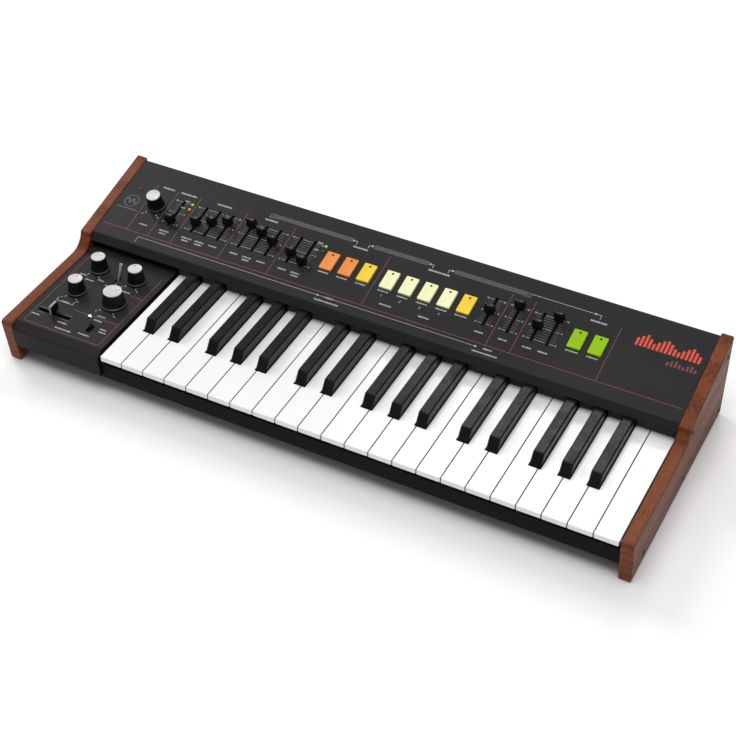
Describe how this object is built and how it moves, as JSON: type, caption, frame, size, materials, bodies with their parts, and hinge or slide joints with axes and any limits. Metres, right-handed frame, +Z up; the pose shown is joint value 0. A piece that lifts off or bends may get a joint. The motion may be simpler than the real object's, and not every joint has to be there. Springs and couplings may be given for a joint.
{
  "type": "synthesizer",
  "caption": "Keyboard synthesizer with wooden end cheeks, a sloping black control panel of sliders and push buttons, and a knob pod left of the keys.",
  "frame": {"origin": "centre of the overall bounding box in plan, on the surface the feet rest on", "axes": "+X to the player's right along the keyboard, +Y from the player to the rear sockets, +Z up"},
  "size_m": [0.6434, 0.2452, 0.0974],
  "materials": {
    "walnut": "satin oiled reddish-brown walnut with lengthwise grain",
    "black_painted_steel": "fine-textured satin black powder coat",
    "white_key_plastic": "polished white",
    "black_key_plastic": "semi-gloss black",
    "black_control_plastic": "matt black with white tops",
    "cream_button_plastic": "satin cream, with orange, yellow and green caps",
    "grey_paddle_plastic": "satin light grey",
    "bright_metal": "polished",
    "plated_steel": "zinc plated",
    "circuit_board": "green solder mask",
    "socket_plastic": "black with metal nuts",
    "dark_screw_steel": "black oxide",
    "foot_rubber": "matt black"
  },
  "bodies": {
    "case": {"top_panel": "black_painted_steel", "pod_panel": "black_painted_steel", "bottom_case": "black_painted_steel", "left_cheek": "walnut", "right_cheek": "walnut", "keybed_frame": "plated_steel", "circuit_boards": "circuit_board", "rear_sockets": "socket_plastic", "case_screws": "dark_screw_steel", "rubber_feet": "foot_rubber"},
    "key_c3": {"white_key_c3": "white_key_plastic"},
    "key_cs3": {"black_key_cs3": "black_key_plastic"},
    "key_d3": {"white_key_d3": "white_key_plastic"},
    "key_ds3": {"black_key_ds3": "black_key_plastic"},
    "key_e3": {"white_key_e3": "white_key_plastic"},
    "key_f3": {"white_key_f3": "white_key_plastic"},
    "key_fs3": {"black_key_fs3": "black_key_plastic"},
    "key_g3": {"white_key_g3": "white_key_plastic"},
    "key_gs3": {"black_key_gs3": "black_key_plastic"},
    "key_a3": {"white_key_a3": "white_key_plastic"},
    "key_as3": {"black_key_as3": "black_key_plastic"},
    "key_b3": {"white_key_b3": "white_key_plastic"},
    "key_c4": {"white_key_c4": "white_key_plastic"},
    "key_cs4": {"black_key_cs4": "black_key_plastic"},
    "key_d4": {"white_key_d4": "white_key_plastic"},
    "key_ds4": {"black_key_ds4": "black_key_plastic"},
    "key_e4": {"white_key_e4": "white_key_plastic"},
    "key_f4": {"white_key_f4": "white_key_plastic"},
    "key_fs4": {"black_key_fs4": "black_key_plastic"},
    "key_g4": {"white_key_g4": "white_key_plastic"},
    "key_gs4": {"black_key_gs4": "black_key_plastic"},
    "key_a4": {"white_key_a4": "white_key_plastic"},
    "key_as4": {"black_key_as4": "black_key_plastic"},
    "key_b4": {"white_key_b4": "white_key_plastic"},
    "key_c5": {"white_key_c5": "white_key_plastic"},
    "key_cs5": {"black_key_cs5": "black_key_plastic"},
    "key_d5": {"white_key_d5": "white_key_plastic"},
    "key_ds5": {"black_key_ds5": "black_key_plastic"},
    "key_e5": {"white_key_e5": "white_key_plastic"},
    "key_f5": {"white_key_f5": "white_key_plastic"},
    "key_fs5": {"black_key_fs5": "black_key_plastic"},
    "key_g5": {"white_key_g5": "white_key_plastic"},
    "key_gs5": {"black_key_gs5": "black_key_plastic"},
    "key_a5": {"white_key_a5": "white_key_plastic"},
    "key_as5": {"black_key_as5": "black_key_plastic"},
    "key_b5": {"white_key_b5": "white_key_plastic"},
    "key_c6": {"white_key_c6": "white_key_plastic"},
    "knob_volume": {"volume_knob": "black_control_plastic"},
    "knob_pod_rear_left": {"pod_knob_rear_left": "black_control_plastic"},
    "knob_pod_rear_right": {"pod_knob_rear_right": "black_control_plastic"},
    "knob_pod_front_left": {"pod_knob_front_left": "black_control_plastic"},
    "knob_pod_large": {"pod_knob_large": "black_control_plastic"},
    "faders_low": {"fader_caps_low": "black_control_plastic"},
    "faders_middle": {"fader_caps_middle": "black_control_plastic"},
    "faders_high": {"fader_caps_high": "black_control_plastic"},
    "faders_top": {"fader_caps_top": "black_control_plastic"},
    "buttons": {"button_caps": "cream_button_plastic"},
    "paddle": {"bend_paddle": "grey_paddle_plastic"},
    "lever": {"pod_lever": "bright_metal"},
    "toggle": {"pod_toggle": "black_control_plastic"}
  },
  "joints": [
    {"name": "key_c3_hinge", "type": "hinge", "parent": "case", "child": "key_c3", "pos_m": [-0.1976, 0.06465, 0.042], "axis": [1, 0, 0], "range_deg": [0, 3], "stiffness_Nm_per_rad": 0.77, "springref_deg": -5.96},
    {"name": "key_cs3_hinge", "type": "hinge", "parent": "case", "child": "key_cs3", "pos_m": [-0.18795, 0.06465, 0.042], "axis": [1, 0, 0], "range_deg": [0, 3], "stiffness_Nm_per_rad": 0.77, "springref_deg": -5.96},
    {"name": "key_d3_hinge", "type": "hinge", "parent": "case", "child": "key_d3", "pos_m": [-0.1741, 0.06465, 0.042], "axis": [1, 0, 0], "range_deg": [0, 3], "stiffness_Nm_per_rad": 0.77, "springref_deg": -5.96},
    {"name": "key_ds3_hinge", "type": "hinge", "parent": "case", "child": "key_ds3", "pos_m": [-0.16025, 0.06465, 0.042], "axis": [1, 0, 0], "range_deg": [0, 3], "stiffness_Nm_per_rad": 0.77, "springref_deg": -5.96},
    {"name": "key_e3_hinge", "type": "hinge", "parent": "case", "child": "key_e3", "pos_m": [-0.1506, 0.06465, 0.042], "axis": [1, 0, 0], "range_deg": [0, 3], "stiffness_Nm_per_rad": 0.77, "springref_deg": -5.96},
    {"name": "key_f3_hinge", "type": "hinge", "parent": "case", "child": "key_f3", "pos_m": [-0.1271, 0.06465, 0.042], "axis": [1, 0, 0], "range_deg": [0, 3], "stiffness_Nm_per_rad": 0.77, "springref_deg": -5.96},
    {"name": "key_fs3_hinge", "type": "hinge", "parent": "case", "child": "key_fs3", "pos_m": [-0.11885, 0.06465, 0.042], "axis": [1, 0, 0], "range_deg": [0, 3], "stiffness_Nm_per_rad": 0.77, "springref_deg": -5.96},
    {"name": "key_g3_hinge", "type": "hinge", "parent": "case", "child": "key_g3", "pos_m": [-0.1036, 0.06465, 0.042], "axis": [1, 0, 0], "range_deg": [0, 3], "stiffness_Nm_per_rad": 0.77, "springref_deg": -5.96},
    {"name": "key_gs3_hinge", "type": "hinge", "parent": "case", "child": "key_gs3", "pos_m": [-0.09165, 0.06465, 0.042], "axis": [1, 0, 0], "range_deg": [0, 3], "stiffness_Nm_per_rad": 0.77, "springref_deg": -5.96},
    {"name": "key_a3_hinge", "type": "hinge", "parent": "case", "child": "key_a3", "pos_m": [-0.0801, 0.06465, 0.042], "axis": [1, 0, 0], "range_deg": [0, 3], "stiffness_Nm_per_rad": 0.77, "springref_deg": -5.96},
    {"name": "key_as3_hinge", "type": "hinge", "parent": "case", "child": "key_as3", "pos_m": [-0.06475, 0.06465, 0.042], "axis": [1, 0, 0], "range_deg": [0, 3], "stiffness_Nm_per_rad": 0.77, "springref_deg": -5.96},
    {"name": "key_b3_hinge", "type": "hinge", "parent": "case", "child": "key_b3", "pos_m": [-0.0566, 0.06465, 0.042], "axis": [1, 0, 0], "range_deg": [0, 3], "stiffness_Nm_per_rad": 0.77, "springref_deg": -5.96},
    {"name": "key_c4_hinge", "type": "hinge", "parent": "case", "child": "key_c4", "pos_m": [-0.0331, 0.06465, 0.042], "axis": [1, 0, 0], "range_deg": [0, 3], "stiffness_Nm_per_rad": 0.77, "springref_deg": -5.96},
    {"name": "key_cs4_hinge", "type": "hinge", "parent": "case", "child": "key_cs4", "pos_m": [-0.02345, 0.06465, 0.042], "axis": [1, 0, 0], "range_deg": [0, 3], "stiffness_Nm_per_rad": 0.77, "springref_deg": -5.96},
    {"name": "key_d4_hinge", "type": "hinge", "parent": "case", "child": "key_d4", "pos_m": [-0.0096, 0.06465, 0.042], "axis": [1, 0, 0], "range_deg": [0, 3], "stiffness_Nm_per_rad": 0.77, "springref_deg": -5.96},
    {"name": "key_ds4_hinge", "type": "hinge", "parent": "case", "child": "key_ds4", "pos_m": [0.00425, 0.06465, 0.042], "axis": [1, 0, 0], "range_deg": [0, 3], "stiffness_Nm_per_rad": 0.77, "springref_deg": -5.96},
    {"name": "key_e4_hinge", "type": "hinge", "parent": "case", "child": "key_e4", "pos_m": [0.0139, 0.06465, 0.042], "axis": [1, 0, 0], "range_deg": [0, 3], "stiffness_Nm_per_rad": 0.77, "springref_deg": -5.96},
    {"name": "key_f4_hinge", "type": "hinge", "parent": "case", "child": "key_f4", "pos_m": [0.0374, 0.06465, 0.042], "axis": [1, 0, 0], "range_deg": [0, 3], "stiffness_Nm_per_rad": 0.77, "springref_deg": -5.96},
    {"name": "key_fs4_hinge", "type": "hinge", "parent": "case", "child": "key_fs4", "pos_m": [0.04565, 0.06465, 0.042], "axis": [1, 0, 0], "range_deg": [0, 3], "stiffness_Nm_per_rad": 0.77, "springref_deg": -5.96},
    {"name": "key_g4_hinge", "type": "hinge", "parent": "case", "child": "key_g4", "pos_m": [0.0609, 0.06465, 0.042], "axis": [1, 0, 0], "range_deg": [0, 3], "stiffness_Nm_per_rad": 0.77, "springref_deg": -5.96},
    {"name": "key_gs4_hinge", "type": "hinge", "parent": "case", "child": "key_gs4", "pos_m": [0.07285, 0.06465, 0.042], "axis": [1, 0, 0], "range_deg": [0, 3], "stiffness_Nm_per_rad": 0.77, "springref_deg": -5.96},
    {"name": "key_a4_hinge", "type": "hinge", "parent": "case", "child": "key_a4", "pos_m": [0.0844, 0.06465, 0.042], "axis": [1, 0, 0], "range_deg": [0, 3], "stiffness_Nm_per_rad": 0.77, "springref_deg": -5.96},
    {"name": "key_as4_hinge", "type": "hinge", "parent": "case", "child": "key_as4", "pos_m": [0.09975, 0.06465, 0.042], "axis": [1, 0, 0], "range_deg": [0, 3], "stiffness_Nm_per_rad": 0.77, "springref_deg": -5.96},
    {"name": "key_b4_hinge", "type": "hinge", "parent": "case", "child": "key_b4", "pos_m": [0.1079, 0.06465, 0.042], "axis": [1, 0, 0], "range_deg": [0, 3], "stiffness_Nm_per_rad": 0.77, "springref_deg": -5.96},
    {"name": "key_c5_hinge", "type": "hinge", "parent": "case", "child": "key_c5", "pos_m": [0.1314, 0.06465, 0.042], "axis": [1, 0, 0], "range_deg": [0, 3], "stiffness_Nm_per_rad": 0.77, "springref_deg": -5.96},
    {"name": "key_cs5_hinge", "type": "hinge", "parent": "case", "child": "key_cs5", "pos_m": [0.14105, 0.06465, 0.042], "axis": [1, 0, 0], "range_deg": [0, 3], "stiffness_Nm_per_rad": 0.77, "springref_deg": -5.96},
    {"name": "key_d5_hinge", "type": "hinge", "parent": "case", "child": "key_d5", "pos_m": [0.1549, 0.06465, 0.042], "axis": [1, 0, 0], "range_deg": [0, 3], "stiffness_Nm_per_rad": 0.77, "springref_deg": -5.96},
    {"name": "key_ds5_hinge", "type": "hinge", "parent": "case", "child": "key_ds5", "pos_m": [0.16875, 0.06465, 0.042], "axis": [1, 0, 0], "range_deg": [0, 3], "stiffness_Nm_per_rad": 0.77, "springref_deg": -5.96},
    {"name": "key_e5_hinge", "type": "hinge", "parent": "case", "child": "key_e5", "pos_m": [0.1784, 0.06465, 0.042], "axis": [1, 0, 0], "range_deg": [0, 3], "stiffness_Nm_per_rad": 0.77, "springref_deg": -5.96},
    {"name": "key_f5_hinge", "type": "hinge", "parent": "case", "child": "key_f5", "pos_m": [0.2019, 0.06465, 0.042], "axis": [1, 0, 0], "range_deg": [0, 3], "stiffness_Nm_per_rad": 0.77, "springref_deg": -5.96},
    {"name": "key_fs5_hinge", "type": "hinge", "parent": "case", "child": "key_fs5", "pos_m": [0.21015, 0.06465, 0.042], "axis": [1, 0, 0], "range_deg": [0, 3], "stiffness_Nm_per_rad": 0.77, "springref_deg": -5.96},
    {"name": "key_g5_hinge", "type": "hinge", "parent": "case", "child": "key_g5", "pos_m": [0.2254, 0.06465, 0.042], "axis": [1, 0, 0], "range_deg": [0, 3], "stiffness_Nm_per_rad": 0.77, "springref_deg": -5.96},
    {"name": "key_gs5_hinge", "type": "hinge", "parent": "case", "child": "key_gs5", "pos_m": [0.23735, 0.06465, 0.042], "axis": [1, 0, 0], "range_deg": [0, 3], "stiffness_Nm_per_rad": 0.77, "springref_deg": -5.96},
    {"name": "key_a5_hinge", "type": "hinge", "parent": "case", "child": "key_a5", "pos_m": [0.2489, 0.06465, 0.042], "axis": [1, 0, 0], "range_deg": [0, 3], "stiffness_Nm_per_rad": 0.77, "springref_deg": -5.96},
    {"name": "key_as5_hinge", "type": "hinge", "parent": "case", "child": "key_as5", "pos_m": [0.26425, 0.06465, 0.042], "axis": [1, 0, 0], "range_deg": [0, 3], "stiffness_Nm_per_rad": 0.77, "springref_deg": -5.96},
    {"name": "key_b5_hinge", "type": "hinge", "parent": "case", "child": "key_b5", "pos_m": [0.2724, 0.06465, 0.042], "axis": [1, 0, 0], "range_deg": [0, 3], "stiffness_Nm_per_rad": 0.77, "springref_deg": -5.96},
    {"name": "key_c6_hinge", "type": "hinge", "parent": "case", "child": "key_c6", "pos_m": [0.2959, 0.06465, 0.042], "axis": [1, 0, 0], "range_deg": [0, 3], "stiffness_Nm_per_rad": 0.77, "springref_deg": -5.96},
    {"name": "knob_volume_turn", "type": "hinge", "parent": "case", "child": "knob_volume", "pos_m": [-0.2653, 0.06958, 0.07937], "axis": [0, -0.225, 0.9744], "range_deg": [-150, 150]},
    {"name": "knob_pod_rear_left_turn", "type": "hinge", "parent": "case", "child": "knob_pod_rear_left", "pos_m": [-0.2815, -0.01335, 0.05], "axis": [0, 0, 1], "range_deg": [-150, 150]},
    {"name": "knob_pod_rear_right_turn", "type": "hinge", "parent": "case", "child": "knob_pod_rear_right", "pos_m": [-0.2383, -0.01335, 0.05], "axis": [0, 0, 1], "range_deg": [-150, 150]},
    {"name": "knob_pod_front_left_turn", "type": "hinge", "parent": "case", "child": "knob_pod_front_left", "pos_m": [-0.2815, -0.05255, 0.05], "axis": [0, 0, 1], "range_deg": [-150, 150]},
    {"name": "knob_pod_large_turn", "type": "hinge", "parent": "case", "child": "knob_pod_large", "pos_m": [-0.2383, -0.05255, 0.05], "axis": [0, 0, 1], "range_deg": [-150, 150]},
    {"name": "faders_low_slide", "type": "slide", "parent": "case", "child": "faders_low", "axis": [0, 0.9744, 0.225], "range_m": [-0.0028, 0.0212]},
    {"name": "faders_middle_slide", "type": "slide", "parent": "case", "child": "faders_middle", "axis": [0, 0.9744, 0.225], "range_m": [-0.015, 0.015]},
    {"name": "faders_high_slide", "type": "slide", "parent": "case", "child": "faders_high", "axis": [0, 0.9744, 0.225], "range_m": [-0.0208, 0.0092]},
    {"name": "faders_top_slide", "type": "slide", "parent": "case", "child": "faders_top", "axis": [0, 0.9744, 0.225], "range_m": [-0.0274, 0]},
    {"name": "buttons_press", "type": "slide", "parent": "case", "child": "buttons", "axis": [0, 0.225, -0.9744], "range_m": [0, 0.0012], "stiffness_N_per_m": 800, "springref_m": -0.0015},
    {"name": "bend_paddle_swing", "type": "hinge", "parent": "case", "child": "paddle", "pos_m": [-0.2815, -0.09055, 0.016], "axis": [0, 1, 0], "range_deg": [-15, 15], "stiffness_Nm_per_rad": 0.15},
    {"name": "pod_lever_swing", "type": "hinge", "parent": "case", "child": "lever", "pos_m": [-0.2564, -0.02125, 0.044], "axis": [1, 0, 0], "range_deg": [0, 56]},
    {"name": "pod_toggle_switch", "type": "hinge", "parent": "case", "child": "toggle", "pos_m": [-0.2383, -0.09385, 0.0435], "axis": [1, 0, 0], "range_deg": [0, 32]}
  ]
}
